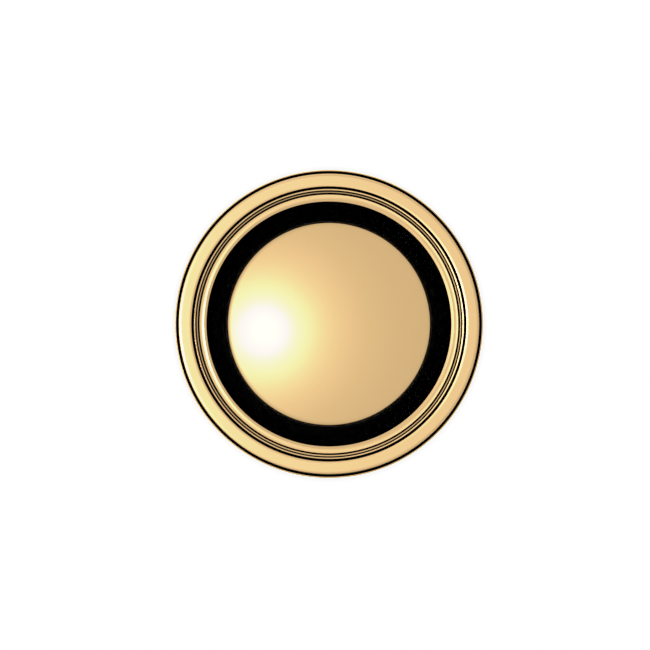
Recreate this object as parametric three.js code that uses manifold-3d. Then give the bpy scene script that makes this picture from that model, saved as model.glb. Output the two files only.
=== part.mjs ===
// Coin capsule: a push-fit, two-half metal case with a clear window on each face. A black foam
// ring centres one plain domed coin between the windows. Millimetres, +Z up. The capsule lies on
// its rear face, with the origin at the middle of that face and the front window looking up.
import * as THREE from "three";
import { mergeVertices } from "three/addons/utils/BufferGeometryUtils.js";
import Module from "manifold-3d";

const wasm = await Module();
wasm.setup();

// ---- driving dimensions: the coin and what holds it ----
const COIN_DIAMETER = 32.7; // one-ounce gold bullion size
const COIN_EDGE = 2.0; // height of the coin's edge
const COIN_RISE = 1.15; // how far the domed face stands above the edge
const COIN_ROLL = 0.6; // width of the round between the dome and the edge
const COIN_ROLL_RISE = 0.3;
const INSERT_WIDTH = 3.6; // foam between the coin and the case
const LENS_THICKNESS = 1.0;
const GASKET_THICKNESS = 0.3;

// ---- the front half ----
const WINDOW_LAP = 0.5; // how far the clamp ring covers the foam
const CLAMP_WIDTH = 1.2; // lens clamp ring, seen from the front
const CLAMP_HEIGHT = 0.78; // from the lens to its lip
const CLAMP_FLANGE = 0.4; // height of its edge under the lock ring
const CLAMP_DROP = 0.78; // its lip lies this far below the land
const LIP_WIDTH = 0.45; // the bevel from its lip to the window
const LIP_FALL = 0.05;
const COVE_DEPTH = 0.04; // the hollow round its lip
const LOCK_WIDTH = 0.7; // stepped lock ring around it
const LOCK_DROP = 0.3; // its upper tread lies this far below the land
const STEP_DROP = 0.24; // between its two treads
const TREAD_WIDTH = 0.28; // its lower tread
const TREAD_FALL = 0.03; // each tread falls this far towards the coin
const SHELF_THICKNESS = 0.7; // metal under the front lens
const SKIRT_WALL = 0.96;
const GRIP_HEIGHT = 1.0; // finger groove round the skirt
const GRIP_DEPTH = 0.35;

// ---- the rear half ----
const SPIGOT_HEIGHT = 2.0; // how far the front half slides over it
const SEAL_SECTION = 0.8; // O-ring between the halves
const SEAL_BACKING = 0.33; // spigot metal behind the O-ring
const RIM_WALL = 0.27; // outer rim that the skirt stands in
const RIM_HEIGHT = 1.1;
const REAR_LIP = 0.7; // metal under the rear lens
const RETAINER_HEIGHT = 0.7;
const REAR_BEVEL = 0.8; // from the foot in to the rear window
const REAR_BEVEL_RISE = 0.35;
const FOOT_ROUND = 0.8; // round between the foot and the side

// ---- clearances ----
const COIN_PLAY = 0.05; // coin in the foam ring
const UNDER_COIN = 0.7; // coin's rear face above the rear lens
const OVER_COIN = 0.25; // front lens above the top of the dome
const INSERT_PLAY = 0.1; // foam ring under and over the lenses
const HOLE_PLAY = 0.2; // foam ring in the holes that it passes through
const LENS_PLAY = 0.35; // lenses in their bores
const RING_GAP = 0.22; // between the nested rings, seen as a dark line
const RIM_GAP = 0.48; // between the skirt and the rim round it, seen as a dark line
const FIT_GAP = 0.06; // front half on the rear half's spigot
const SEAM_GAP = 0.1; // between the two halves where they meet end on
const SEAT_GAP = 0.02; // between parts that rest on each other
const SEAL_GAP = 0.05;

// ---- broken edges ----
const SMALL_EDGE = 0.1;
const LINE_BEVEL = 0.1; // width of the bevel beside each dark line
const LINE_FALL = 0.045; // how far such a bevel falls
const LAND_BEVEL = 0.4; // width of the round on each side of the land
const LAND_FALL = 0.16;

const ROUND_STEPS = 48; // flat sides round each turned piece

// ---- radii, from the coin outwards ----
const COIN_R = COIN_DIAMETER / 2;
const INSERT_IN = COIN_R + COIN_PLAY;
const INSERT_OUT = INSERT_IN + INSERT_WIDTH;
const WINDOW_R = INSERT_OUT - WINDOW_LAP;
const SHELF_HOLE = INSERT_OUT + HOLE_PLAY;
const LIP_R = WINDOW_R + LIP_WIDTH;
const CLAMP_OUT = WINDOW_R + CLAMP_WIDTH;
const LOCK_IN = CLAMP_OUT + RING_GAP;
const LOCK_OUT = LOCK_IN + LOCK_WIDTH;
const BORE_R = LOCK_OUT + RING_GAP;
const LENS_R = BORE_R - LENS_PLAY;
const SPIGOT_R = BORE_R + SEAL_BACKING + SEAL_SECTION;
const SKIRT_IN = SPIGOT_R + FIT_GAP;
const CASE_R = SKIRT_IN + SKIRT_WALL;
const RIM_IN = CASE_R + RIM_GAP;
const RIM_OUT = RIM_IN + RIM_WALL;

// ---- heights, from the rear face upwards ----
const REAR_LENS_Z = REAR_LIP + GASKET_THICKNESS + SEAT_GAP;
const REAR_LENS_TOP = REAR_LENS_Z + LENS_THICKNESS;
const COIN_Z = REAR_LENS_TOP + UNDER_COIN;
const COIN_TOP = COIN_Z + COIN_EDGE + COIN_RISE;
const LENS_Z = COIN_TOP + OVER_COIN;
const LENS_TOP = LENS_Z + LENS_THICKNESS;
const SHELF_TOP = LENS_Z - GASKET_THICKNESS - SEAT_GAP;
const SHELF_Z = SHELF_TOP - SHELF_THICKNESS;
const SPIGOT_TOP = SHELF_Z - SEAM_GAP;
const STEP_Z = SPIGOT_TOP - SPIGOT_HEIGHT; // ledge at the foot of the spigot
const SKIRT_Z = STEP_Z + SEAM_GAP;
const RIM_TOP = STEP_Z + RIM_HEIGHT;
const SEAL_Z = STEP_Z + SPIGOT_HEIGHT / 2;
const CLAMP_Z = LENS_TOP + SEAT_GAP;
const LIP_Z = CLAMP_Z + CLAMP_HEIGHT;
const LAND_Z = LIP_Z + CLAMP_DROP;
const LOCK_Z = CLAMP_Z + CLAMP_FLANGE + SEAT_GAP;

const GOLD = new THREE.MeshStandardMaterial({ color: 0xffd795, roughness: 0.12, metalness: 1 });
const COIN_GOLD = new THREE.MeshStandardMaterial({ color: 0xffd795, roughness: 0.2, metalness: 1 });
const ACRYLIC = new THREE.MeshStandardMaterial({
  color: 0xf4f8fa,
  roughness: 0.03,
  metalness: 0,
  transparent: true,
  opacity: 0.12,
});
const FOAM = new THREE.MeshStandardMaterial({ color: 0x060606, roughness: 0.95, metalness: 0 });
const SILICONE = new THREE.MeshStandardMaterial({ color: 0x101011, roughness: 0.6, metalness: 0 });

// Points [r, z] along a round stretch, from one angle to another in degrees, about (r, z).
function arc(r, z, radius, from, to, steps) {
  return Array.from({ length: steps + 1 }, (_, i) => {
    const a = THREE.MathUtils.degToRad(from + ((to - from) * i) / steps);
    return [r + radius * Math.cos(a), z + radius * Math.sin(a)];
  });
}

// A piece turned on a lathe: [r, z] points anticlockwise round its section, r to the right. A
// section that starts on the axis ends on it; any other is closed here into a ring.
function turned(section) {
  const closed = section[0][0] === 0 ? section : [...section, section[0]];
  const profile = closed.map(([r, z]) => new THREE.Vector2(r, z));
  return new THREE.LatheGeometry(profile, ROUND_STEPS).rotateX(Math.PI / 2);
}

function flatRing(inner, outer, z, height) {
  return turned([
    [inner, z],
    [outer, z],
    [outer, z + height],
    [inner, z + height],
  ]);
}

function solid(geometry) {
  const bare = new THREE.BufferGeometry()
    .setIndex(geometry.index)
    .setAttribute("position", geometry.getAttribute("position"));
  const merged = mergeVertices(bare, 1e-3);
  const vertProperties = merged.getAttribute("position").array;
  const triVerts = new Uint32Array(merged.index.array);
  return new wasm.Manifold(new wasm.Mesh({ numProp: 3, vertProperties, triVerts }));
}

function geometryOf(manifold) {
  const mesh = manifold.getMesh();
  return new THREE.BufferGeometry()
    .setAttribute("position", new THREE.BufferAttribute(mesh.vertProperties, 3))
    .setIndex(new THREE.BufferAttribute(mesh.triVerts, 1));
}

// Cuts the groove for the O-ring out of the spigot.
function sealGroove() {
  const half = SEAL_SECTION / 2 + SEAL_GAP;
  return flatRing(SPIGOT_R - SEAL_SECTION, SPIGOT_R + FIT_GAP, SEAL_Z - half, 2 * half);
}

// Cuts the finger groove that the front half is pulled off by.
function fingerGroove() {
  return flatRing(CASE_R - GRIP_DEPTH, RIM_OUT, RIM_TOP + SMALL_EDGE, GRIP_HEIGHT);
}

// Rear half: foot, outer rim round the front half's skirt, and the spigot that it slides on.
function rearShell() {
  const rimRound = RIM_WALL / 2;
  const body = turned([
    [WINDOW_R + REAR_BEVEL, 0],
    [RIM_OUT - FOOT_ROUND, 0],
    ...arc(RIM_OUT - FOOT_ROUND, FOOT_ROUND, FOOT_ROUND, -60, 0, 2),
    ...arc(RIM_OUT - rimRound, RIM_TOP - rimRound, rimRound, 0, 180, 4),
    [RIM_IN, STEP_Z],
    [SPIGOT_R, STEP_Z],
    [SPIGOT_R, SPIGOT_TOP - SMALL_EDGE],
    [SPIGOT_R - SMALL_EDGE, SPIGOT_TOP],
    [BORE_R, SPIGOT_TOP],
    [BORE_R, REAR_LIP],
    [WINDOW_R, REAR_LIP],
    [WINDOW_R, REAR_BEVEL_RISE],
  ]);
  return geometryOf(solid(body).subtract(solid(sealGroove())));
}

// O-ring in the spigot's groove, which the front half grips as it is pushed on.
function closureSeal() {
  const radius = (SEAL_SECTION - SEAL_GAP) / 2;
  return turned(arc(SPIGOT_R - radius, SEAL_Z, radius, 0, 315, 7));
}

function lensGasket(shelf, inner) {
  return flatRing(inner, BORE_R - RING_GAP, shelf + SEAT_GAP / 2, GASKET_THICKNESS);
}

// Pressed into the rear half's bore, over the rear lens.
function rearRetainer() {
  const z = REAR_LENS_TOP + SEAT_GAP;
  const outer = BORE_R - SEAT_GAP;
  const top = z + RETAINER_HEIGHT;
  return turned([
    [SHELF_HOLE, z],
    [outer, z],
    [outer, top - SMALL_EDGE],
    [outer - SMALL_EDGE, top],
    [SHELF_HOLE + SMALL_EDGE, top],
    [SHELF_HOLE, top - SMALL_EDGE],
  ]);
}

// A clear round window with broken edges.
function lens(z) {
  return turned([
    [0, z],
    [LENS_R - SMALL_EDGE, z],
    [LENS_R, z + SMALL_EDGE],
    [LENS_R, z + LENS_THICKNESS - SMALL_EDGE],
    [LENS_R - SMALL_EDGE, z + LENS_THICKNESS],
    [0, z + LENS_THICKNESS],
  ]);
}

// Foam ring that grips the coin's edge and fills the case between the two windows.
function insertRing() {
  const z = REAR_LENS_TOP + INSERT_PLAY;
  const top = LENS_Z - INSERT_PLAY;
  return turned([
    [INSERT_IN, z + SMALL_EDGE],
    [INSERT_IN + SMALL_EDGE, z],
    [INSERT_OUT - SMALL_EDGE, z],
    [INSERT_OUT, z + SMALL_EDGE],
    [INSERT_OUT, top - SMALL_EDGE],
    [INSERT_OUT - SMALL_EDGE, top],
    [INSERT_IN + SMALL_EDGE, top],
    [INSERT_IN, top - SMALL_EDGE],
  ]);
}

// Plain coin: flat rear face, upright edge, and a front face that is part of a sphere, rolled
// over into the edge.
function coin() {
  const domeR = COIN_R - COIN_ROLL;
  const rollZ = COIN_Z + COIN_EDGE;
  const capRise = COIN_RISE - COIN_ROLL_RISE;
  const sphere = (domeR * domeR + capRise * capRise) / (2 * capRise);
  const half = THREE.MathUtils.radToDeg(Math.asin(domeR / sphere));
  const roll = new THREE.QuadraticBezierCurve(
    new THREE.Vector2(COIN_R, rollZ),
    new THREE.Vector2(COIN_R, rollZ + COIN_ROLL_RISE / 2),
    new THREE.Vector2(domeR, rollZ + COIN_ROLL_RISE),
  );
  return turned([
    [0, COIN_Z],
    [COIN_R - SMALL_EDGE, COIN_Z],
    [COIN_R, COIN_Z + SMALL_EDGE],
    ...roll.getPoints(3).map((p) => [p.x, p.y]),
    ...arc(0, COIN_TOP - sphere, sphere, 90 - half, 90, 6).slice(1, -1),
    [0, COIN_TOP],
  ]);
}

// Front half: land, skirt over the rear half's spigot, bore for the rings and shelf for the lens.
function frontBezel() {
  const body = turned([
    [SKIRT_IN, SKIRT_Z],
    [CASE_R, SKIRT_Z],
    [CASE_R, LAND_Z - LAND_FALL],
    [CASE_R - LAND_BEVEL, LAND_Z],
    [BORE_R + LAND_BEVEL, LAND_Z],
    [BORE_R, LAND_Z - LAND_FALL],
    [BORE_R, SHELF_TOP],
    [SHELF_HOLE, SHELF_TOP],
    [SHELF_HOLE, SHELF_Z],
    [SKIRT_IN, SHELF_Z],
  ]);
  return geometryOf(solid(body).subtract(solid(fingerGroove())));
}

// Presses on the front lens. Its face has a bevelled lip with a shallow hollow round it.
function clampRing() {
  const flangeTop = CLAMP_Z + CLAMP_FLANGE;
  return turned([
    [WINDOW_R, CLAMP_Z],
    [BORE_R - RING_GAP, CLAMP_Z],
    [BORE_R - RING_GAP, flangeTop],
    [CLAMP_OUT, flangeTop],
    [CLAMP_OUT, LIP_Z - LINE_FALL],
    [CLAMP_OUT - LINE_BEVEL, LIP_Z],
    [(LIP_R + CLAMP_OUT - LINE_BEVEL) / 2, LIP_Z - COVE_DEPTH],
    [LIP_R, LIP_Z],
    [WINDOW_R, LIP_Z - LIP_FALL],
  ]);
}

// Screws down into the bore on the clamp ring's flange. Its face steps down towards the coin.
function lockRing() {
  const high = LAND_Z - LOCK_DROP;
  const low = high - STEP_DROP;
  const riser = LOCK_IN + TREAD_WIDTH;
  return turned([
    [LOCK_IN, LOCK_Z],
    [LOCK_OUT, LOCK_Z],
    [LOCK_OUT, high - LINE_FALL],
    [LOCK_OUT - LINE_BEVEL, high],
    [riser + LINE_BEVEL, high - TREAD_FALL],
    [riser, high - TREAD_FALL - LINE_FALL],
    [riser, low],
    [LOCK_IN + LINE_BEVEL, low - TREAD_FALL],
    [LOCK_IN, low - TREAD_FALL - LINE_FALL],
  ]);
}

const PIECES = [
  ["rear_shell", rearShell(), GOLD],
  ["rear_lens_gasket", lensGasket(REAR_LIP, WINDOW_R + HOLE_PLAY), SILICONE],
  ["rear_lens", lens(REAR_LENS_Z), ACRYLIC],
  ["rear_lens_retainer", rearRetainer(), GOLD],
  ["closure_seal", closureSeal(), SILICONE],
  ["insert_ring", insertRing(), FOAM],
  ["coin", coin(), COIN_GOLD],
  ["front_bezel", frontBezel(), GOLD],
  ["front_lens_gasket", lensGasket(SHELF_TOP, SHELF_HOLE + HOLE_PLAY), SILICONE],
  ["front_lens", lens(LENS_Z), ACRYLIC],
  ["lens_clamp_ring", clampRing(), GOLD],
  ["lens_lock_ring", lockRing(), GOLD],
];

const capsule = new THREE.Group();
for (const [name, geometry, material] of PIECES) {
  const mesh = new THREE.Mesh(geometry, material);
  mesh.name = name;
  capsule.add(mesh);
}

export default capsule;
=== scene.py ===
"""Builds the looks of a push-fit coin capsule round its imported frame.

The capsule lies on its rear face, with +Z running from there to the front window, and every piece is
turned about the Z axis. Sizes are in millimetres until a mesh is made, and in metres after that.
"""

import logging
import math
from abc import ABC, abstractmethod
from collections.abc import Mapping, Sequence
from dataclasses import dataclass
from enum import IntEnum
from typing import Any

import bpy
import numpy as np
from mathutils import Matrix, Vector


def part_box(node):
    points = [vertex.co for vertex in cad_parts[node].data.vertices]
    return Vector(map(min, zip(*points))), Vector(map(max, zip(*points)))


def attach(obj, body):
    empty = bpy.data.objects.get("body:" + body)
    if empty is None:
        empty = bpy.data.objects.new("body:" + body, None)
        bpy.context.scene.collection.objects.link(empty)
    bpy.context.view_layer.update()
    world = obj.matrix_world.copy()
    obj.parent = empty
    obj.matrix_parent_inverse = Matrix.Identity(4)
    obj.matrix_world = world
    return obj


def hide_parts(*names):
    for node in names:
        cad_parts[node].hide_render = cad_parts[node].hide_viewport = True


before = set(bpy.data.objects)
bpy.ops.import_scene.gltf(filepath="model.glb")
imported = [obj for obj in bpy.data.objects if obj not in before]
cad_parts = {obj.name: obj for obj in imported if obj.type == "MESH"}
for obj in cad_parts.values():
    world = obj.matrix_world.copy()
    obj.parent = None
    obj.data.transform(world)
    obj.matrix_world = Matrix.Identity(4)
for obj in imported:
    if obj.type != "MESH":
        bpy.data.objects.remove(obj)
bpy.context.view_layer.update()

log = logging.getLogger("capsule")

MM = 0.001
TINY = 1e-9

# How finely turned pieces are made.
ROUND_SAMPLES = 8
SWEEP_STEPS = 360
# A round takes at most this share of the stretch on either side of it.
ROUND_SHARE = 0.49
# A point whose normal leans this far outwards lies on a reeded edge.
FACES_OUT = 0.99

# Most of a noise texture's values lie between these.
NOISE_SPAN = (0.35, 0.65)

# The room's soft lights stand in this many banks round the capsule, one of them at this angle in
# degrees.
LIGHT_BANKS = 3
BANK_TURN = 90.0


# ---- small helpers ----


def linear(code: str) -> tuple[float, float, float, float]:
    """Turns an sRGB hex colour into linear light.

    Args:
        code: Six hex digits after a hash sign.

    Returns:
        Red, green, blue and an alpha of one.
    """
    srgb = np.array([int(code[i : i + 2], 16) for i in (1, 3, 5)]) / 255
    light = np.where(srgb <= 0.04045, srgb / 12.92, ((srgb + 0.055) / 1.055) ** 2.4)
    return (*light.tolist(), 1.0)


def add_node(
    tree: bpy.types.NodeTree,
    kind: str,
    settings: Mapping[str, Any] | None = None,
    inputs: Mapping[str | int, Any] | None = None,
) -> bpy.types.Node:
    """Adds one node with its settings and links.

    Args:
        tree: Node tree that takes the node.
        kind: Blender's name for the node's type.
        settings: Values of the node's own properties.
        inputs: What each input socket gets: a number or colour, or an output socket to link from.

    Returns:
        The new node.
    """
    node = tree.nodes.new(kind)
    for name, value in (settings or {}).items():
        setattr(node, name, value)
    for key, value in (inputs or {}).items():
        if isinstance(value, bpy.types.NodeSocket):
            tree.links.new(value, node.inputs[key])
        else:
            node.inputs[key].default_value = value
    return node


# ---- turned shapes ----


class Stretch(IntEnum):
    """Which of a turned piece's finishes a stretch of its section takes."""

    FACE = 0
    # Painted shade: the black finish on walls, steps and seams where shade falls.
    SHADED = 1


@dataclass(frozen=True)
class Corner:
    """One corner of a turned section, in millimetres.

    The stretch that leaves the corner takes its finish. A corner with no round is a point of a smooth
    curve, so its normal is halfway between its two stretches.
    """

    r: float
    z: float
    round: float = 0.0
    finish: Stretch = Stretch.FACE


@dataclass(frozen=True)
class Span:
    """Where a CAD node lies, in millimetres: its outer radius and its lowest and highest Z."""

    radius: float
    low: float
    high: float

    @classmethod
    def of(cls, node: str) -> "Span":
        """Measures a CAD node."""
        low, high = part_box(node)
        return cls(high[0] / MM, low[2] / MM, high[2] / MM)


@dataclass(frozen=True)
class Reeding:
    """Upright grooves round a coin's edge, in millimetres.

    At an angle a, and between the two heights, the edge stands in by depth * (1 - cos(count * a)) / 2,
    and it fades in and out over the fade height.
    """

    count: int
    depth: float
    low: float
    high: float
    fade: float

    def levels(self) -> tuple[float, float, float, float]:
        """Gives the heights where the grooves start, are full, still full, and end."""
        return (self.low, self.low + self.fade, self.high - self.fade, self.high)

    def cut(self, angle: np.ndarray, z: np.ndarray) -> tuple[np.ndarray, np.ndarray]:
        """Works out the cut over a grid.

        Args:
            angle: Angles round the axis, as a row.
            z: Heights, as a column.

        Returns:
            How far the edge stands in, and how fast that grows with the angle.
        """
        inside = np.clip(np.minimum(z - self.low, self.high - z) / self.fade, 0, 1)
        turn = self.count * angle
        return (
            inside * self.depth * (1 - np.cos(turn)) / 2,
            inside * self.depth * self.count * np.sin(turn) / 2,
        )


@dataclass(frozen=True)
class Section:
    """A section that a turned piece is swept from, anticlockwise with r to the right and z up.

    A closed section makes a ring. An open one starts and ends on the axis.
    """

    corners: Sequence[Corner]
    closed: bool = True

    @classmethod
    def ring(cls, inner: float, span: Span, foot: float, rim: float, mouth: float) -> "Section":
        """Gives the section of a flat ring.

        Args:
            inner: Radius of its hole.
            span: Where it lies.
            foot: Round of its two lower edges.
            rim: Round of its outer upper edge.
            mouth: Round of its inner upper edge.

        Returns:
            The closed section, with four corners.
        """
        return cls(
            [
                Corner(inner, span.low, foot),
                Corner(span.radius, span.low, foot),
                Corner(span.radius, span.high, rim),
                Corner(inner, span.high, mouth),
            ]
        )

    def sampled(self) -> tuple[np.ndarray, np.ndarray, np.ndarray]:
        """Rounds the corners.

        A corner that turns by t with a round of radius p is cut back by p * tan(t / 2) on each side,
        and the arc between has points and normals turned evenly from one side to the other. A round
        between two finishes takes the later one, so the painted-shade black runs round it.

        Returns:
            Points (n, 2), outward normals (n, 2), and the finish of the stretch after each point.
        """
        at = np.array([(c.r, c.z) for c in self.corners])
        wish = np.array([c.round for c in self.corners])
        finish = np.array([c.finish for c in self.corners])
        ahead = np.roll(at, -1, axis=0) - at
        if not self.closed:
            ahead[-1] = ahead[-2]
        length = np.linalg.norm(ahead, axis=1)
        out = ahead / length[:, None]
        into = np.roll(out, 1, axis=0)
        if not self.closed:
            into[0] = out[0]
        turn = np.arctan2(into[:, 0] * out[:, 1] - into[:, 1] * out[:, 0], (into * out).sum(axis=1))
        half = np.tan(np.abs(turn) / 2)
        room = ROUND_SHARE * np.minimum(length, np.roll(length, 1))
        back = np.minimum(wish * half, room)
        radius = back / np.maximum(half, TINY)

        samples = np.where(wish > 0, ROUND_SAMPLES, 1)
        corner = np.repeat(np.arange(len(at)), samples)
        first = np.repeat(np.cumsum(samples) - samples, samples)
        step = np.arange(len(corner)) - first
        share = np.where(samples[corner] > 1, step / (ROUND_SAMPLES - 1), 0.5)

        swing = turn[corner] * share
        side = np.sign(turn[corner])
        left = np.stack([-into[corner, 1], into[corner, 0]], axis=1)
        start = at[corner] - back[corner, None] * into[corner]
        centre = start + (side * radius[corner])[:, None] * left
        arm = start - centre
        cos, sin = np.cos(swing), np.sin(swing)
        turning = np.stack([np.stack([cos, -sin], axis=1), np.stack([sin, cos], axis=1)], axis=1)
        swung_arm = np.einsum("nij,nj->ni", turning, arm)
        along = np.einsum("nij,nj->ni", turning, into[corner])
        points = np.where((samples[corner] > 1)[:, None], centre + swung_arm, at[corner])
        normals = np.stack([along[:, 1], -along[:, 0]], axis=1)
        last = np.roll(corner, -1) != corner
        # A round next to a painted-shade stretch takes the painted shade.
        duller = np.maximum(finish, np.roll(finish, 1))
        skin = np.where(last, finish[corner], duller[corner])
        return points, normals, skin

    def turned(
        self,
        name: str,
        finishes: Sequence["Finish"],
        steps: int = SWEEP_STEPS,
        reeding: Reeding | None = None,
    ) -> bpy.types.Object:
        """Sweeps the section round the Z axis: a point (r, z) goes to (r cos a, r sin a, z).

        Args:
            name: Name of the object.
            finishes: The finishes that the stretches choose from.
            steps: How many angles the sweep has.
            reeding: Grooves cut in the section's outer edge.

        Returns:
            The object, in metres, with its place in its mesh.
        """
        points, normals, skin = self.sampled()
        angle = np.linspace(0, 2 * math.pi, steps, endpoint=False)[None, :]
        ends = slice(None) if self.closed else slice(1, -1)
        r, z = points[ends, :1], points[ends, 1:]
        nr, nz = normals[ends, :1], normals[ends, 1:]
        depth, slope = reeding.cut(angle, z) if reeding else (0.0, 0.0)
        on_edge = nr > FACES_OUT
        radius = r - on_edge * depth
        swerve = on_edge * slope / np.maximum(radius, TINY)
        cos, sin = np.cos(angle), np.sin(angle)
        grid = np.stack(np.broadcast_arrays(radius * cos, radius * sin, z), axis=2).reshape(-1, 3)
        lean = np.stack(
            np.broadcast_arrays(nr * (cos - swerve * sin), nr * (sin + swerve * cos), nz), axis=2
        ).reshape(-1, 3)
        rows = len(r)
        row = np.arange(rows if self.closed else rows - 1)[:, None]
        this, after = row * steps, (row + 1) % rows * steps
        col = np.arange(steps)[None, :]
        side = (col + 1) % steps
        quads = np.stack([this + col, this + side, after + side, after + col], axis=2).reshape(-1, 4)
        slots = np.repeat(skin if self.closed else skin[1:-2], steps)
        faces: list[list[int]] = quads.tolist()
        if not self.closed:
            poles = np.column_stack([np.zeros((2, 2)), points[[0, -1], 1]])
            grid = np.vstack([grid, poles])
            lean = np.vstack([lean, [[0, 0, -1], [0, 0, 1]]])
            low, high = rows * steps, rows * steps + 1
            ring, on = col[0], side[0]
            top = (rows - 1) * steps
            faces += np.column_stack([np.full(steps, low), on, ring]).tolist()
            faces += np.column_stack([top + ring, top + on, np.full(steps, high)]).tolist()
            slots = np.concatenate([slots, np.repeat(skin[[0, -2]], steps)])
        lean /= np.linalg.norm(lean, axis=1, keepdims=True)

        mesh = bpy.data.meshes.new(name)
        mesh.from_pydata((grid * MM).tolist(), [], faces)
        for finish in finishes:
            mesh.materials.append(finish.material())
        mesh.polygons.foreach_set("material_index", slots.astype(np.int32))
        mesh.polygons.foreach_set("use_smooth", np.ones(len(faces), dtype=bool))
        mesh.normals_split_custom_set_from_vertices(lean.tolist())
        mesh.update()
        piece = bpy.data.objects.new(name, mesh)
        bpy.context.scene.collection.objects.link(piece)
        return piece


def bow(
    start: tuple[float, float], end: tuple[float, float], rise: float, samples: int
) -> list[Corner]:
    """Gives the inner points of a shallow curve between two points.

    A share t of the way along, the curve stands 4 * rise * t * (1 - t) above the straight line.

    Args:
        start: Where the curve starts, as (r, z).
        end: Where the curve ends, as (r, z).
        rise: Height of its middle over the straight line; below zero it is a hollow.
        samples: How many points to give.

    Returns:
        Smooth corners, without the two ends.
    """
    t = np.linspace(0, 1, samples + 2)[1:-1]
    r = start[0] + (end[0] - start[0]) * t
    z = start[1] + (end[1] - start[1]) * t + 4 * rise * t * (1 - t)
    return [Corner(a, b) for a, b in zip(r.tolist(), z.tolist())]


# ---- finishes ----


@dataclass(frozen=True)
class Finish(ABC):
    """What a surface is made of and how it was finished."""

    name: str

    @abstractmethod
    def shade(self, tree: bpy.types.NodeTree) -> bpy.types.NodeSocket:
        """Adds the finish's nodes.

        Args:
            tree: Node tree that takes the nodes.

        Returns:
            The shader's output.
        """

    def material(self) -> bpy.types.Material:
        """Makes the finish's material, or finds it where it is already made.

        Returns:
            The material.
        """
        made = bpy.data.materials.get(self.name)
        if made:
            return made
        made = bpy.data.materials.new(self.name)
        made.use_nodes = True
        made.node_tree.nodes.clear()
        surface = self.shade(made.node_tree)
        add_node(made.node_tree, "ShaderNodeOutputMaterial", inputs={"Surface": surface})
        return made


def turning_place(tree: bpy.types.NodeTree, pitch: float) -> bpy.types.NodeSocket:
    """Adds a place that changes only across a lathe's marks.

    Its X is the distance from the axis and its Y the height, both counted in marks.

    Args:
        tree: Node tree that takes the nodes.
        pitch: Spacing of the marks, in millimetres.

    Returns:
        The place, as a vector.
    """
    place = add_node(tree, "ShaderNodeTexCoord").outputs["Object"]
    flat = add_node(tree, "ShaderNodeVectorMath", {"operation": "MULTIPLY"}, {0: place, 1: (1, 1, 0)})
    away = add_node(tree, "ShaderNodeVectorMath", {"operation": "LENGTH"}, {0: flat.outputs[0]})
    height = add_node(tree, "ShaderNodeSeparateXYZ", inputs={0: place})
    both = add_node(
        tree, "ShaderNodeCombineXYZ", inputs={"X": away.outputs["Value"], "Y": height.outputs["Z"]}
    )
    count = 1 / (pitch * MM)
    return add_node(
        tree, "ShaderNodeVectorMath", {"operation": "SCALE"}, {0: both.outputs[0], "Scale": count}
    ).outputs[0]


def patchy(
    tree: bpy.types.NodeTree,
    size: float,
    limits: tuple[float, float],
    detail: float = 3.0,
    noise_span: tuple[float, float] = (0.0, 1.0),
) -> bpy.types.NodeSocket:
    """Adds a value that wanders between two limits over soft patches of the surface.

    Args:
        tree: Node tree that takes the nodes.
        size: Size of the patches, in millimetres.
        limits: The lower and the upper limit.
        detail: How many finer layers of noise lie on the patches.
        noise_span: The noise values that give those limits.

    Returns:
        The value.
    """
    place = add_node(tree, "ShaderNodeTexCoord").outputs["Object"]
    noise = add_node(
        tree, "ShaderNodeTexNoise", inputs={"Vector": place, "Scale": 1 / (size * MM), "Detail": detail}
    )
    return add_node(
        tree,
        "ShaderNodeMapRange",
        inputs={
            "Value": noise.outputs["Fac"],
            "From Min": noise_span[0],
            "From Max": noise_span[1],
            "To Min": limits[0],
            "To Max": limits[1],
        },
    ).outputs[0]


def around(
    tree: bpy.types.NodeTree, place: bpy.types.NodeSocket, low: float, high: float
) -> bpy.types.NodeSocket:
    """Adds a level that swings between the room's banks of light.

    At an angle a round the Z axis it is halfway between low and high, plus half their difference
    times cos(count * (a - turn)), with one bank at the turn.

    Args:
        tree: Node tree that takes the nodes.
        place: The place or direction whose angle counts.
        low: Level halfway between two banks.
        high: Level at a bank.

    Returns:
        The level.
    """
    parts = add_node(tree, "ShaderNodeSeparateXYZ", inputs={0: place})
    angle = add_node(
        tree, "ShaderNodeMath", {"operation": "ARCTAN2"}, {0: parts.outputs["Y"], 1: parts.outputs["X"]}
    )
    counted = add_node(
        tree,
        "ShaderNodeMath",
        {"operation": "MULTIPLY_ADD"},
        {0: angle.outputs[0], 1: LIGHT_BANKS, 2: -LIGHT_BANKS * math.radians(BANK_TURN)},
    )
    wave = add_node(tree, "ShaderNodeMath", {"operation": "COSINE"}, {0: counted.outputs[0]})
    return add_node(
        tree,
        "ShaderNodeMapRange",
        inputs={"Value": wave.outputs[0], "From Min": -1.0, "From Max": 1.0, "To Min": low, "To Max": high},
    ).outputs[0]


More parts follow.
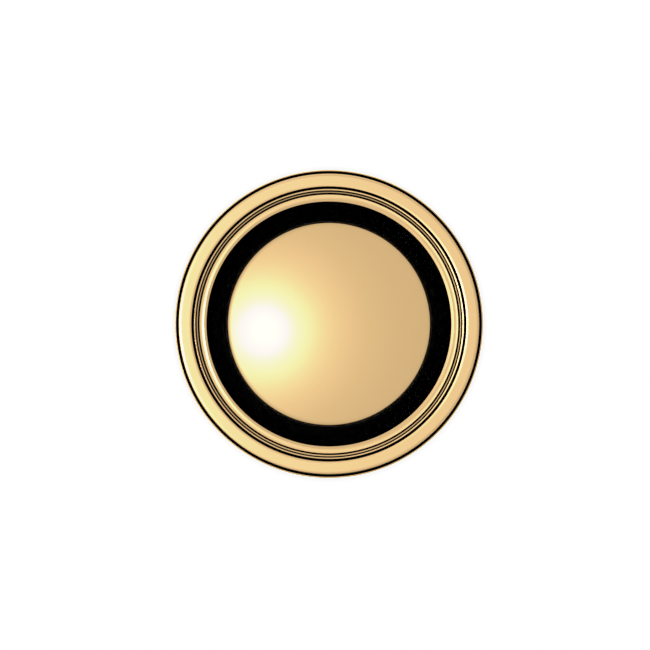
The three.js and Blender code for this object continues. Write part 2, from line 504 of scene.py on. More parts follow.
@dataclass(frozen=True)
class GoldPlate(Finish):
    """Brass, gold plated over a lathe-turned and polished face.

    The plate mirrors its surroundings in warm yellow, a little softened by the mop. Faint rings are
    left from turning, and handling leaves soft patches and fine hairlines that are a little duller.
    The hairlines' turn is in radians.
    """

    colour: str
    roughness: float
    patch_size: float
    patch_roughness: float
    ring_pitch: float
    ring_depth: float
    hairline_length: float
    hairline_width: float
    hairline_turn: float
    hairline_roughness: float
    hairline_span: tuple[float, float]

    def shade(self, tree: bpy.types.NodeTree) -> bpy.types.NodeSocket:
        """Adds the finish's nodes.

        Args:
            tree: Node tree that takes the nodes.

        Returns:
            The shader's output.
        """
        along, across = 1 / (self.hairline_length * MM), 1 / (self.hairline_width * MM)
        stretched = add_node(
            tree,
            "ShaderNodeMapping",
            inputs={
                "Vector": add_node(tree, "ShaderNodeTexCoord").outputs["Object"],
                "Rotation": (0, 0, self.hairline_turn),
                "Scale": (along, across, along),
            },
        )
        hairs = add_node(
            tree, "ShaderNodeTexNoise", inputs={"Vector": stretched.outputs[0], "Scale": 1.0, "Detail": 2.0}
        )
        sparse = add_node(
            tree,
            "ShaderNodeMapRange",
            inputs={
                "Value": hairs.outputs["Fac"],
                "From Min": self.hairline_span[0],
                "From Max": self.hairline_span[1],
                "To Min": 0.0,
                "To Max": self.hairline_roughness,
            },
        )
        limits = (self.roughness, self.roughness + self.patch_roughness)
        duller = patchy(tree, self.patch_size, limits, noise_span=NOISE_SPAN)
        rough = add_node(tree, "ShaderNodeMath", {"operation": "ADD"}, {0: duller, 1: sparse.outputs[0]})
        rings = add_node(
            tree,
            "ShaderNodeTexNoise",
            inputs={"Vector": turning_place(tree, self.ring_pitch), "Scale": 1.0, "Detail": 3.0},
        )
        bump = add_node(
            tree,
            "ShaderNodeBump",
            inputs={"Strength": 1.0, "Distance": self.ring_depth * MM, "Height": rings.outputs["Fac"]},
        )
        return add_node(
            tree,
            "ShaderNodeBsdfPrincipled",
            inputs={
                "Base Color": linear(self.colour),
                "Metallic": 1.0,
                "Roughness": rough.outputs[0],
                "Normal": bump.outputs[0],
            },
        ).outputs[0]


@dataclass(frozen=True)
class SatinGold(Finish):
    """Gold-plated coin blank, burnished with steel shot.

    The burnish leaves a fine, even grain that spreads each highlight into a soft glow.
    """

    colour: str
    roughness: float
    cloud_size: float
    cloud_roughness: float
    grain_size: float
    grain_depth: float

    def shade(self, tree: bpy.types.NodeTree) -> bpy.types.NodeSocket:
        """Adds the finish's nodes.

        Args:
            tree: Node tree that takes the nodes.

        Returns:
            The shader's output.
        """
        limits = (self.roughness, self.roughness + self.cloud_roughness)
        rough = patchy(tree, self.cloud_size, limits, detail=4.0, noise_span=NOISE_SPAN)
        place = add_node(tree, "ShaderNodeTexCoord").outputs["Object"]
        grain = add_node(
            tree,
            "ShaderNodeTexNoise",
            inputs={"Vector": place, "Scale": 1 / (self.grain_size * MM), "Detail": 2.0},
        )
        bump = add_node(
            tree,
            "ShaderNodeBump",
            inputs={"Strength": 1.0, "Distance": self.grain_depth * MM, "Height": grain.outputs["Fac"]},
        )
        return add_node(
            tree,
            "ShaderNodeBsdfPrincipled",
            inputs={
                "Base Color": linear(self.colour),
                "Metallic": 1.0,
                "Roughness": rough,
                "Normal": bump.outputs[0],
            },
        ).outputs[0]


@dataclass(frozen=True)
class ShadeBlack(Finish):
    """Near-black paint on threads, bores, steps and the joint between the halves: painted shade.

    It stands for the shade that falls in these narrow walls and recesses, so that the seams between
    the bright rings read as black lines.
    """

    colour: str
    roughness: float
    grit_size: float
    grit_roughness: float
    glint: float

    def shade(self, tree: bpy.types.NodeTree) -> bpy.types.NodeSocket:
        """Adds the finish's nodes.

        Args:
            tree: Node tree that takes the nodes.

        Returns:
            The shader's output.
        """
        limits = (self.roughness, self.roughness + self.grit_roughness)
        return add_node(
            tree,
            "ShaderNodeBsdfPrincipled",
            inputs={
                "Base Color": linear(self.colour),
                "Roughness": patchy(tree, self.grit_size, limits),
                "Specular IOR Level": self.glint,
            },
        ).outputs[0]


@dataclass(frozen=True)
class CoatedAcrylic(Finish):
    """Clear cast acrylic with an anti-reflection coating.

    Seen straight on it is all but invisible. At a low angle it mirrors, by Schlick's rule: a share
    f + (g - f) * (1 - cos a) ** 5 of the light, where f is the share mirrored head on and g the share
    mirrored at a glancing angle. The coating leaves a faint violet cast in what it mirrors.
    """

    tint: str
    head_on: float
    glancing: float
    roughness: float

    def shade(self, tree: bpy.types.NodeTree) -> bpy.types.NodeSocket:
        """Adds the finish's nodes.

        Args:
            tree: Node tree that takes the nodes.

        Returns:
            The shader's output.
        """
        facing = add_node(tree, "ShaderNodeLayerWeight", inputs={"Blend": 0.5})
        fifth = add_node(
            tree, "ShaderNodeMath", {"operation": "POWER"}, {0: facing.outputs["Facing"], 1: 5.0}
        )
        share = add_node(
            tree,
            "ShaderNodeMapRange",
            inputs={"Value": fifth.outputs[0], "To Min": self.head_on, "To Max": self.glancing},
        )
        return add_node(
            tree,
            "ShaderNodeBsdfPrincipled",
            inputs={
                "Base Color": linear(self.tint),
                "Metallic": 1.0,
                "Roughness": self.roughness,
                "Alpha": share.outputs[0],
            },
        ).outputs[0]


@dataclass(frozen=True)
class ClosedCellFoam(Finish):
    """Dense black EVA foam, die cut from sheet.

    Closed cells a quarter of a millimetre across pit the surface, which drinks up light. Painted
    shade makes each pit darker at its bottom and lighter on the walls between. The thin walls that the
    cut leaves standing catch a little light at a low angle.
    """

    colour: str
    cell_wall_colour: str
    cell_size: float
    cell_depth: float
    pitting: float
    roughness: float
    glint: float
    sheen: float
    sheen_roughness: float

    def shade(self, tree: bpy.types.NodeTree) -> bpy.types.NodeSocket:
        """Adds the finish's nodes.

        Args:
            tree: Node tree that takes the nodes.

        Returns:
            The shader's output.
        """
        place = add_node(tree, "ShaderNodeTexCoord").outputs["Object"]
        cells = add_node(
            tree, "ShaderNodeTexVoronoi", inputs={"Vector": place, "Scale": 1 / (self.cell_size * MM)}
        )
        # Painted shade: darker at the bottom of each cell's pit, lighter on the walls between.
        pit_shade = add_node(
            tree,
            "ShaderNodeMix",
            {"data_type": "RGBA"},
            {"Factor": cells.outputs["Distance"], 6: linear(self.colour), 7: linear(self.cell_wall_colour)},
        )
        bump = add_node(
            tree,
            "ShaderNodeBump",
            inputs={
                "Strength": self.pitting,
                "Distance": self.cell_depth * MM,
                "Height": cells.outputs["Distance"],
            },
        )
        return add_node(
            tree,
            "ShaderNodeBsdfPrincipled",
            inputs={
                "Base Color": pit_shade.outputs[2],
                "Roughness": self.roughness,
                "Specular IOR Level": self.glint,
                "Sheen Weight": self.sheen,
                "Sheen Roughness": self.sheen_roughness,
                "Sheen Tint": (1, 1, 1, 1),
                "Normal": bump.outputs[0],
            },
        ).outputs[0]


@dataclass(frozen=True)
class SiliconeRubber(Finish):
    """Moulded black silicone rubber: satin, with a soft sheen from the mould."""

    colour: str
    ior: float
    roughness: float
    bloom_size: float
    bloom_roughness: float

    def shade(self, tree: bpy.types.NodeTree) -> bpy.types.NodeSocket:
        """Adds the finish's nodes.

        Args:
            tree: Node tree that takes the nodes.

        Returns:
            The shader's output.
        """
        limits = (self.roughness, self.roughness + self.bloom_roughness)
        rough = patchy(tree, self.bloom_size, limits)
        return add_node(
            tree,
            "ShaderNodeBsdfPrincipled",
            inputs={"Base Color": linear(self.colour), "Roughness": rough, "IOR": self.ior},
        ).outputs[0]


@dataclass(frozen=True)
class LightTable(Finish):
    """Opal sheet lit from below, which keeps shadows pale.

    The camera sees an even glow with a painted contact shadow: it dims only within the contact
    distance of the capsule, where the capsule hides part of the sky. The capsule's sides see a
    weaker one, which swings between the table's lamps, so that the bright metal has something to
    mirror.
    """

    colour: str
    roughness: float
    glow: float
    painted_shadow_glow: float
    contact: float
    contact_rays: int
    contact_span: tuple[float, float]
    low_glow: float
    high_glow: float

    def shade(self, tree: bpy.types.NodeTree) -> bpy.types.NodeSocket:
        """Adds the finish's nodes.

        Args:
            tree: Node tree that takes the nodes.

        Returns:
            The shader's output.
        """
        path = add_node(tree, "ShaderNodeLightPath")
        place = add_node(tree, "ShaderNodeTexCoord").outputs["Object"]
        mirrored = around(tree, place, self.low_glow, self.high_glow)
        open_sky = add_node(
            tree,
            "ShaderNodeAmbientOcclusion",
            {"samples": self.contact_rays},
            {"Distance": self.contact * MM},
        )
        # Painted contact shadow: the camera's glow drops where little open sky is left near the capsule.
        seen = add_node(
            tree,
            "ShaderNodeMapRange",
            inputs={
                "Value": open_sky.outputs["AO"],
                "From Min": self.contact_span[0],
                "From Max": self.contact_span[1],
                "To Min": self.painted_shadow_glow,
                "To Max": self.glow,
            },
        )
        glow = add_node(
            tree,
            "ShaderNodeMix",
            inputs={0: path.outputs["Is Camera Ray"], 2: mirrored, 3: seen.outputs[0]},
        )
        return add_node(
            tree,
            "ShaderNodeBsdfPrincipled",
            inputs={
                "Base Color": linear(self.colour),
                "Roughness": self.roughness,
                "Emission Color": (1, 1, 1, 1),
                "Emission Strength": glow.outputs[0],
            },
        ).outputs[0]


# Real turning marks are some 0.05 mm apart, and are drawn coarser here so that they show.
POLISHED = GoldPlate(
    name="polished_gold_plate",
    colour="#F8D094",
    roughness=0.13,
    patch_size=6.0,
    patch_roughness=0.03,
    ring_pitch=0.22,
    ring_depth=0.0006,
    hairline_length=9.0,
    hairline_width=0.16,
    hairline_turn=0.6,
    hairline_roughness=0.05,
    hairline_span=(0.62, 0.72),
)
# The burnish's real grain is finer than 0.05 mm, and is drawn coarser here so that it shows.
BURNISHED = SatinGold(
    name="burnished_gold_blank",
    colour="#F8D094",
    roughness=0.15,
    cloud_size=7.0,
    cloud_roughness=0.02,
    grain_size=0.18,
    grain_depth=0.0004,
)
# Painted shade: near-black on the walls, steps and seams where shade falls between the bright rings.
SHADE_BLACK = ShadeBlack(
    name="painted_shade_black",
    colour="#060606",
    roughness=0.6,
    grit_size=0.1,
    grit_roughness=0.2,
    glint=0.1,
)
WINDOW = CoatedAcrylic(
    name="coated_clear_acrylic", tint="#F2F3FF", head_on=0.0005, glancing=0.6, roughness=0.02
)
FOAM = ClosedCellFoam(
    name="black_eva_foam",
    colour="#030303",
    cell_wall_colour="#090909",
    cell_size=0.25,
    cell_depth=0.03,
    pitting=0.8,
    roughness=0.95,
    glint=0.05,
    sheen=0.09,
    sheen_roughness=0.35,
)
RUBBER = SiliconeRubber(
    name="black_silicone_rubber",
    colour="#151517",
    ior=1.41,
    roughness=0.4,
    bloom_size=2.0,
    bloom_roughness=0.15,
)
TABLE = LightTable(
    name="opal_light_table",
    colour="#F4F3F0",
    roughness=0.8,
    glow=3.1,
    painted_shadow_glow=0.9,
    contact=1.3,
    contact_rays=8,
    contact_span=(0.5, 0.9),
    low_glow=0.05,
    high_glow=0.5,
)


# ---- the capsule's sub-assemblies ----


def fit(piece: bpy.types.Object, body: str, node: str) -> bpy.types.Object:
    """Puts a finished piece in the place of a CAD node.

    Args:
        piece: The finished piece.
        body: Body that it moves with.
        node: CAD node that it stands for.

    Returns:
        The same piece.
    """
    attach(piece, body)
    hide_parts(node)
    return piece


@dataclass(frozen=True)
class LensSet:
    """A clear window and the flat gasket under it, with their sizes in millimetres."""

    lens_node: str
    gasket_node: str
    body: str
    gasket_width: float
    polish: float = 0.12
    gasket_round: float = 0.07

    def lens(self) -> bpy.types.Object:
        """Builds the window: a flat disc with polished, rounded edges.

        Returns:
            The piece.
        """
        span = Span.of(self.lens_node)
        section = Section(
            [
                Corner(0, span.low),
                Corner(span.radius, span.low, self.polish),
                Corner(span.radius, span.high, self.polish),
                Corner(0, span.high),
            ],
            closed=False,
        )
        piece = section.turned(f"{self.lens_node}_clear", [WINDOW])
        return fit(piece, self.body, self.lens_node)

    def gasket(self) -> bpy.types.Object:
        """Builds the gasket: a flat ring with soft edges.

        Returns:
            The piece.
        """
        span = Span.of(self.gasket_node)
        soft = self.gasket_round
        section = Section.ring(span.radius - self.gasket_width, span, soft, soft, soft)
        piece = section.turned(f"{self.gasket_node}_soft", [RUBBER])
        return fit(piece, self.body, self.gasket_node)

    def build(self) -> list[bpy.types.Object]:
        """Builds both pieces."""
        return [self.lens(), self.gasket()]


@dataclass(frozen=True)
class FrontHalf:
    """The half that is pulled off: bezel, lock ring, clamp ring, window and gasket.

    Sizes are in millimetres. A fall is how far a bevel drops over its width.
    """

    body: str = "front_half"
    edge: float = 0.05
    soft_edge: float = 0.12
    fine_round: float = 0.03
    # bezel
    side_ease: float = 0.06
    bore: float = 21.84
    skirt_bore: float = 23.03
    shelf_bore: float = 20.2
    shelf_height: float = 0.7
    gasket_shelf: float = 5.8
    gasket_width: float = 1.22
    grip_low: float = 4.2
    grip_height: float = 1.0
    grip_depth: float = 0.35
    grip_round: float = 0.3
    land_bevel: float = 0.36
    land_fall: float = 0.03
    land_outer_fall: float = 0.03
    land_round: float = 0.1
    land_inner_round: float = 0.11
    land_crown: float = 1.2
    # clamp ring
    window: float = 19.5
    clamp_radius: float = 20.7
    clamp_flange: float = 0.4
    lip_width: float = 0.45
    lip_fall: float = 0.07
    lip_round: float = 0.06
    ridge_width: float = 0.04
    cove_depth: float = 0.012
    cove_round: float = 0.14
    cove_points: int = 24
    # lock ring
    ring_gap: float = 0.22
    lock_ease: float = 0.06
    tread_width: float = 0.165
    tread_fall: float = 0.02
    tread_round: float = 0.07
    rim_round: float = 0.19
    bright_depth: float = 0.2
    step_drop: float = 0.24
    step_width: float = 0.23

    def bezel(self) -> bpy.types.Object:
        """Builds the bezel: skirt, finger groove, polished land and a bore for the rings.

        Returns:
            The piece.
        """
        span = Span.of("front_bezel")
        # Painted shade: the bore, the gasket shelf, and the skirt's foot and its lower side inside the rear
        # rim.
        shaded = Stretch.SHADED
        outer, land = span.radius - self.side_ease, span.high
        grip_top = self.grip_low + self.grip_height
        shelf_foot = self.gasket_shelf - self.shelf_height
        section = Section(
            [
                Corner(self.skirt_bore, span.low, self.soft_edge, shaded),
                Corner(outer, span.low, self.soft_edge, shaded),
                Corner(outer, self.grip_low, self.soft_edge),
                Corner(outer - self.grip_depth, self.grip_low, self.grip_round),
                Corner(outer - self.grip_depth, grip_top, self.grip_round),
                Corner(outer, grip_top, self.soft_edge),
                Corner(outer, land - self.land_outer_fall, self.land_round),
                Corner(outer - self.land_bevel, land, self.land_crown),
                Corner(self.bore + self.land_bevel, land, self.land_crown),
                Corner(self.bore, land - self.land_fall, self.land_inner_round, shaded),
                Corner(self.bore, self.gasket_shelf, self.edge, shaded),
                Corner(self.shelf_bore, self.gasket_shelf, self.edge, shaded),
                Corner(self.shelf_bore, shelf_foot, self.edge, shaded),
                Corner(self.skirt_bore, shelf_foot, self.edge, shaded),
            ]
        )
        piece = section.turned("front_bezel_polished", [POLISHED, SHADE_BLACK])
        return fit(piece, self.body, "front_bezel")

    def lock_ring(self) -> bpy.types.Object:
        """Builds the lock ring: two narrow bright treads with a steep step between them.

        Returns:
            The piece.
        """
        span = Span.of("lens_lock_ring")
        # Painted shade: the step between the treads and the lower parts of both walls, so the step reads as
        # a dark line.
        shaded = Stretch.SHADED
        inner, outer = self.clamp_radius + self.ring_gap, span.radius - self.lock_ease
        high, low = span.high, span.high - self.step_drop
        step = inner + self.tread_width
        section = Section(
            [
                Corner(inner, span.low, self.edge, shaded),
                Corner(outer, span.low, self.edge, shaded),
                Corner(outer, high - self.bright_depth),
                Corner(outer, high, self.rim_round),
                Corner(step + self.step_width, high - self.tread_fall, self.fine_round, shaded),
                Corner(step, low),
                Corner(inner, low - self.tread_fall, self.tread_round),
                Corner(inner, low - self.bright_depth, 0.0, shaded),
            ]
        )
        piece = section.turned("lens_lock_ring_polished", [POLISHED, SHADE_BLACK])
        return fit(piece, self.body, "lens_lock_ring")

    def clamp_ring(self) -> bpy.types.Object:
        """Builds the clamp ring: a shallow cove, a fine ridge and a bevel down to the window.

        Returns:
            The piece.
        """
        span = Span.of("lens_clamp_ring")
        # Painted shade: the window's bore and the ring's hidden foot and flange.
        shaded = Stretch.SHADED
        ridge, top = self.window + self.lip_width, span.high
        cove = bow(
            (self.clamp_radius - self.cove_round, top),
            (ridge + self.ridge_width, top),
            -self.cove_depth,
            self.cove_points,
        )
        section = Section(
            [
                Corner(self.window, span.low, self.edge, shaded),
                Corner(span.radius, span.low, self.edge, shaded),
                Corner(span.radius, span.low + self.clamp_flange, self.edge, shaded),
                Corner(self.clamp_radius, span.low + self.clamp_flange, self.edge, shaded),
                Corner(self.clamp_radius, top, self.cove_round),
                *cove,
                Corner(ridge, top, self.fine_round),
                Corner(self.window, top - self.lip_fall, self.lip_round, shaded),
            ]
        )
        piece = section.turned("lens_clamp_ring_polished", [POLISHED, SHADE_BLACK])
        return fit(piece, self.body, "lens_clamp_ring")

    def build(self) -> list[bpy.types.Object]:
        """Builds the half's pieces."""
        windows = LensSet("front_lens", "front_lens_gasket", self.body, self.gasket_width)
        return [self.bezel(), self.lock_ring(), self.clamp_ring(), *windows.build()]


@dataclass(frozen=True)
class RearHalf:
    """The half that the capsule lies on: shell, window, gasket, retainer and seal, in millimetres."""

    body: str = "rear_half"
    edge: float = 0.08
    soft_edge: float = 0.12
    # foot and rim
    window: float = 19.5
    bevel_width: float = 0.8
    bevel_rise: float = 0.35
    bevel_round: float = 0.15
    foot_round: float = 0.8
    rim_wall: float = 0.27
    rim_inner_round: float = 0.07
    rim_top: float = 4.1
    ledge: float = 3.0
    # spigot
    spigot: float = 22.97
    spigot_round: float = 0.15
    bore: float = 21.84
    lens_shelf: float = 0.7
    gasket_width: float = 1.92
    retainer_bore: float = 20.2
    seal_section: float = 0.8
    seal_play: float = 0.05
    seal_sides: int = 24
    groove_round: float = 0.03

    def shell(self) -> bpy.types.Object:
        """Builds the shell: flat foot, round side, thin outer rim, a ledge and the spigot.

        Returns:
            The piece.
        """
        span = Span.of("rear_shell")
        seal = Span.of("closure_seal")
        # Painted shade: the rim's inner wall, the ledge and the seal's groove, which make the dark seam
        # line.
        shaded = Stretch.SHADED
        outer = span.radius
        groove_low, groove_top = seal.low - self.seal_play, seal.high + self.seal_play
        groove = self.spigot - self.seal_section
        section = Section(
            [
                Corner(self.window + self.bevel_width, span.low, self.bevel_round),
                Corner(outer, span.low, self.foot_round),
                Corner(outer, self.rim_top, self.soft_edge),
                Corner(outer - self.rim_wall, self.rim_top, self.rim_inner_round, shaded),
                Corner(outer - self.rim_wall, self.ledge, self.edge, shaded),
                Corner(self.spigot, self.ledge, self.edge),
                Corner(self.spigot, groove_low, self.groove_round, shaded),
                Corner(groove, groove_low, self.groove_round, shaded),
                Corner(groove, groove_top, self.groove_round, shaded),
                Corner(self.spigot, groove_top, self.groove_round),
                Corner(self.spigot, span.high, self.spigot_round),
                Corner(self.bore, span.high, self.edge),
                Corner(self.bore, self.lens_shelf, self.edge),
                Corner(self.window, self.lens_shelf, self.edge),
                Corner(self.window, self.bevel_rise, self.edge),
            ]
        )
        piece = section.turned("rear_shell_polished", [POLISHED, SHADE_BLACK])
        return fit(piece, self.body, "rear_shell")

    def retainer(self) -> bpy.types.Object:
        """Builds the pressed ring that holds the window down.

        Returns:
            The piece.
        """
        span = Span.of("rear_lens_retainer")
        section = Section.ring(self.retainer_bore, span, self.edge, self.soft_edge, self.soft_edge)
        piece = section.turned("rear_lens_retainer_polished", [POLISHED])
        return fit(piece, self.body, "rear_lens_retainer")

    def seal(self) -> bpy.types.Object:
        """Builds the O-ring: a circle of the seal's section carried round the spigot.

        Returns:
            The piece.
        """
        span = Span.of("closure_seal")
        radius = (span.high - span.low) / 2
        angle = np.linspace(0, 2 * math.pi, self.seal_sides, endpoint=False)
        r = span.radius - radius + radius * np.cos(angle)
        z = span.low + radius + radius * np.sin(angle)
        corners = [Corner(a, b) for a, b in zip(r.tolist(), z.tolist())]
        piece = Section(corners).turned("closure_seal_soft", [RUBBER])
        return fit(piece, self.body, "closure_seal")

    def build(self) -> list[bpy.types.Object]:
        """Builds the half's pieces."""
        windows = LensSet("rear_lens", "rear_lens_gasket", self.body, self.gasket_width)
        return [self.shell(), self.retainer(), self.seal(), *windows.build()]


@dataclass(frozen=True)
class FoamInsert:
    """The foam ring that grips the coin, in millimetres."""

    body: str = "foam_insert"
    width: float = 3.6
    edge: float = 0.1
    mouth_round: float = 0.8

    def build(self) -> list[bpy.types.Object]:
        """Builds the ring: die-cut edges, and a rolled mouth that leads the coin in.

        Returns:
            The piece, in a list.
        """
        span = Span.of("insert_ring")
        section = Section.ring(span.radius - self.width, span, self.edge, self.edge, self.mouth_round)
        piece = section.turned("insert_ring_foam", [FOAM])
        return [fit(piece, self.body, "insert_ring")]


@dataclass(frozen=True)
class DomedCoin:
    """The plain coin: a domed front, a reeded edge and a flat back with a raised rim, in millimetres."""

    body: str = "coin_blank"
    dome_rise: float = 0.92
    roll: float = 0.85
    roll_fall: float = 0.055
    edge_round: float = 0.04
    rim_width: float = 1.2
    rim_round: float = 0.12
    field_depth: float = 0.15
    field_round: float = 0.1
    # A struck coin has some 180 reeds; fewer and deeper ones show from arm's length.
    reeds: int = 120
    reed_depth: float = 0.08
    reed_margin: float = 0.25
    reed_fade: float = 0.06
    steps_to_a_reed: int = 8
    dome_rings: int = 30
    roll_rings: int = 14

    def front(self, radius: float, top: float) -> list[Corner]:
        """Gives the front face from the edge to just short of the axis.

        With s the share of the way to the edge, and t the share of the way across the roll, the face
        lies dome_rise * s ** 2 + roll_fall * t ** 3 below its top.

        Args:
            radius: The coin's radius.
            top: Height of the middle of the dome.

        Returns:
            The edge's corner, then smooth corners.
        """
        roll_start = radius - self.roll
        outer = np.linspace(radius, roll_start, self.roll_rings, endpoint=False)
        inner = np.linspace(roll_start, 0, self.dome_rings, endpoint=False)
        r = np.concatenate([outer, inner])
        across = np.clip((r - roll_start) / self.roll, 0, None)
        z = top - self.dome_rise * (r / radius) ** 2 - self.roll_fall * across**3
        edge, *rest = zip(r.tolist(), z.tolist())
        return [Corner(*edge, self.edge_round), *[Corner(*place) for place in rest]]

    def build(self) -> list[bpy.types.Object]:
        """Builds the coin.

        Returns:
            The piece, in a list.
        """
        span = Span.of("coin")
        field_radius = span.radius - self.rim_width
        field = span.low + self.field_depth
        front = self.front(span.radius, span.high)
        reeding = Reeding(
            self.reeds,
            self.reed_depth,
            span.low + self.reed_margin,
            front[0].z - self.reed_margin,
            self.reed_fade,
        )
        section = Section(
            [
                Corner(0, field),
                Corner(field_radius - self.field_round, field, self.field_round),
                Corner(field_radius, span.low, self.field_round),
                Corner(span.radius, span.low, self.rim_round),
                *[Corner(span.radius, z) for z in reeding.levels()],
                *front,
                Corner(0, span.high),
            ],
            closed=False,
        )
        steps = self.reeds * self.steps_to_a_reed
        piece = section.turned("coin_domed", [BURNISHED], steps, reeding)
        return [fit(piece, self.body, "coin")]


# ---- the studio ----

# The room's brightness by height: the sine of the angle above the horizon, and the level there.
ROOM_LEVELS = ((0.0, 0.6), (0.18, 0.7), (0.42, 0.7), (0.58, 0.37), (0.8, 0.37), (0.94, 0.67), (1.0, 0.72))
# What the camera sees past the table.
WHITE_ROOM = 3.8
# Where bright light starts to lose its contrast, as on film: scene light against shown light.
SHOULDER = ((0.84, 0.84), (0.98, 0.9), (2.4, 0.945), (3.45, 1.0))
BRIGHTEST = 3.8
# Light below this is shown as black.
DARKEST = 0.0016


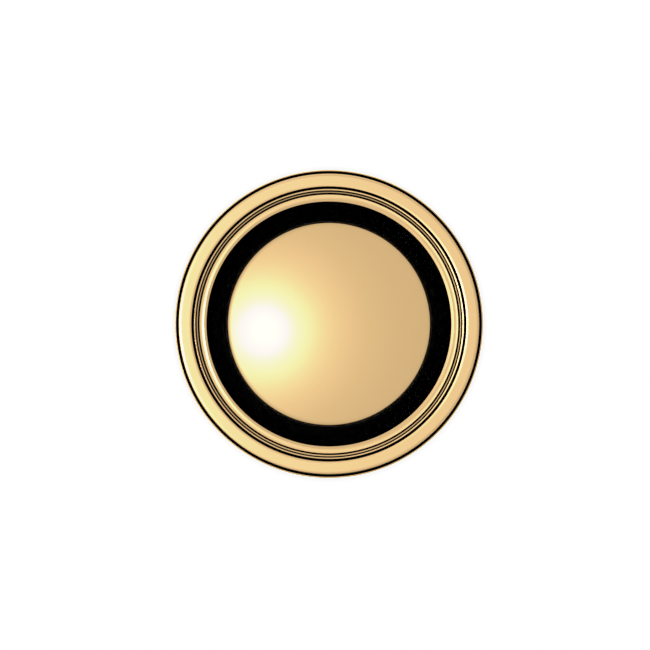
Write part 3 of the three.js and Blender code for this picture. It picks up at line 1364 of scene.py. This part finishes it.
@dataclass(frozen=True)
class Studio:
    """A pale table, soft light and a camera that looks straight down.

    Distances are in metres, the lens is in millimetres, the key light's lean and the halo's width are
    in degrees, and the key light's power is in watts.
    """

    camera_height: float = 0.75
    lens: float = 257.7
    centre_shift: tuple[float, float] = (-0.00608, -0.00158)
    table_size: float = 8.0
    key_distance: float = 1.2
    key_size: float = 0.05
    key_lean: tuple[float, float] = (-9.4, -1.0)
    key_power: float = 0.25
    halo: float = 3.1
    halo_width: float = 3.8
    bank_low: float = 0.6
    bank_high: float = 1.2
    front_level: float = 0.65
    back_level: float = 1.9
    back_span: tuple[float, float] = (-0.2, 0.9)
    overhead_span: tuple[float, float] = (0.75, 0.93)
    clip: tuple[float, float] = (0.01, 10.0)

    def table(self) -> None:
        """Lays the table, level with the capsule's foot."""
        half = self.table_size / 2
        corners = [(-half, -half, 0), (half, -half, 0), (half, half, 0), (-half, half, 0)]
        mesh = bpy.data.meshes.new("table")
        mesh.from_pydata(corners, [], [(0, 1, 2, 3)])
        mesh.materials.append(TABLE.material())
        table = bpy.data.objects.new("table", mesh)
        bpy.context.scene.collection.objects.link(table)

    def key_way(self) -> Vector:
        """Gives the direction of the key light from the capsule."""
        lean_x, lean_y = (math.radians(a) for a in self.key_lean)
        return Vector((math.tan(lean_x), math.tan(lean_y), 1)).normalized()

    def key(self) -> None:
        """Hangs the round key light, a little left of straight above."""
        lamp = bpy.data.lights.new("key", "AREA")
        lamp.shape = "DISK"
        lamp.size = self.key_size
        lamp.energy = self.key_power
        light = bpy.data.objects.new("key", lamp)
        light.location = self.key_way() * self.key_distance
        light.rotation_euler = self.key_way().to_track_quat("Z", "Y").to_euler()
        bpy.context.scene.collection.objects.link(light)

    def surroundings(self) -> None:
        """Lights the room: soft overhead, dim at mid height and brighter again low down at the back.

        Away from overhead the level also swings between the banks of light, and grows from the front
        of the room to the back. A halo round the key light falls off as
        halo * e ** (-angle / halo_width). The camera sees a plain white room.
        """
        world = bpy.data.worlds.new("studio")
        world.use_nodes = True
        tree = world.node_tree
        tree.nodes.clear()
        way = add_node(tree, "ShaderNodeTexCoord").outputs["Generated"]
        parts = add_node(tree, "ShaderNodeSeparateXYZ", inputs={0: way})
        by_height = add_node(tree, "ShaderNodeValToRGB", inputs={"Fac": parts.outputs["Z"]})
        stops = by_height.color_ramp.elements
        while len(stops) < len(ROOM_LEVELS):
            stops.new(0.5)
        for stop, (height, level) in zip(stops, ROOM_LEVELS):
            stop.position = height
            stop.color = (level, level, level, 1)
        back = add_node(
            tree,
            "ShaderNodeMapRange",
            {"interpolation_type": "SMOOTHSTEP"},
            {
                "Value": parts.outputs["Y"],
                "From Min": self.back_span[0],
                "From Max": self.back_span[1],
                "To Min": self.front_level,
                "To Max": self.back_level,
            },
        )
        banked = add_node(
            tree,
            "ShaderNodeMath",
            {"operation": "MULTIPLY"},
            {0: by_height.outputs[0], 1: around(tree, way, self.bank_low, self.bank_high)},
        )
        room = add_node(
            tree, "ShaderNodeMath", {"operation": "MULTIPLY"}, {0: banked.outputs[0], 1: back.outputs[0]}
        )
        overhead = add_node(
            tree,
            "ShaderNodeMapRange",
            {"interpolation_type": "SMOOTHSTEP"},
            {
                "Value": parts.outputs["Z"],
                "From Min": self.overhead_span[0],
                "From Max": self.overhead_span[1],
            },
        )
        even = add_node(
            tree,
            "ShaderNodeMix",
            inputs={0: overhead.outputs[0], 2: room.outputs[0], 3: by_height.outputs[0]},
        )
        near = add_node(
            tree, "ShaderNodeVectorMath", {"operation": "DOT_PRODUCT"}, {0: way, 1: tuple(self.key_way())}
        )
        angle = add_node(tree, "ShaderNodeMath", {"operation": "ARCCOSINE"}, {0: near.outputs["Value"]})
        falling = add_node(
            tree,
            "ShaderNodeMath",
            {"operation": "MULTIPLY"},
            {0: angle.outputs[0], 1: -1 / math.radians(self.halo_width)},
        )
        halo = add_node(tree, "ShaderNodeMath", {"operation": "EXPONENT"}, {0: falling.outputs[0]})
        total = add_node(
            tree,
            "ShaderNodeMath",
            {"operation": "MULTIPLY_ADD"},
            {0: halo.outputs[0], 1: self.halo, 2: even.outputs[0]},
        )
        lit = add_node(tree, "ShaderNodeBackground", inputs={"Strength": total.outputs[0]})
        plain = add_node(tree, "ShaderNodeBackground", inputs={"Strength": WHITE_ROOM})
        for shade in (lit, plain):
            shade.inputs["Color"].default_value = (1, 1, 1, 1)
        path = add_node(tree, "ShaderNodeLightPath")
        seen = add_node(
            tree,
            "ShaderNodeMixShader",
            inputs={0: path.outputs["Is Camera Ray"], 1: lit.outputs[0], 2: plain.outputs[0]},
        )
        add_node(tree, "ShaderNodeOutputWorld", inputs={"Surface": seen.outputs[0]})
        bpy.context.scene.world = world

    def camera(self) -> None:
        """Sets the camera over the capsule, a little off its axis by shift alone."""
        data = bpy.data.cameras.new("camera")
        data.lens = self.lens
        data.shift_x, data.shift_y = self.centre_shift
        data.clip_start, data.clip_end = self.clip
        camera = bpy.data.objects.new("camera", data)
        camera.location = (0, 0, self.camera_height)
        bpy.context.scene.collection.objects.link(camera)
        bpy.context.scene.camera = camera

    def film(self) -> None:
        """Keeps colours as they are, with a soft shoulder on the brightest ones."""
        view = bpy.context.scene.view_settings
        view.view_transform = "Standard"
        view.use_curve_mapping = True
        mapping = view.curve_mapping
        mapping.black_level = (DARKEST,) * 3
        mapping.white_level = (BRIGHTEST,) * 3
        curve = mapping.curves[3]
        curve.points[1].location = (1, 1)
        for light, shown in SHOULDER:
            curve.points.new(light / BRIGHTEST, shown)
        for point in curve.points:
            point.handle_type = "VECTOR"
        mapping.update()

    def build(self) -> None:
        """Sets the whole studio up."""
        self.table()
        self.key()
        self.surroundings()
        self.camera()
        self.film()


def main() -> None:
    """Builds the studio and each sub-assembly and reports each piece."""
    logging.basicConfig(level=logging.INFO, format="%(name)s: %(message)s")
    Studio().build()
    for assembly in (RearHalf(), DomedCoin(), FoamInsert(), FrontHalf()):
        for piece in assembly.build():
            log.info("%s: %s, %d faces", type(assembly).__name__, piece.name, len(piece.data.polygons))


if __name__ == "__main__":
    main()
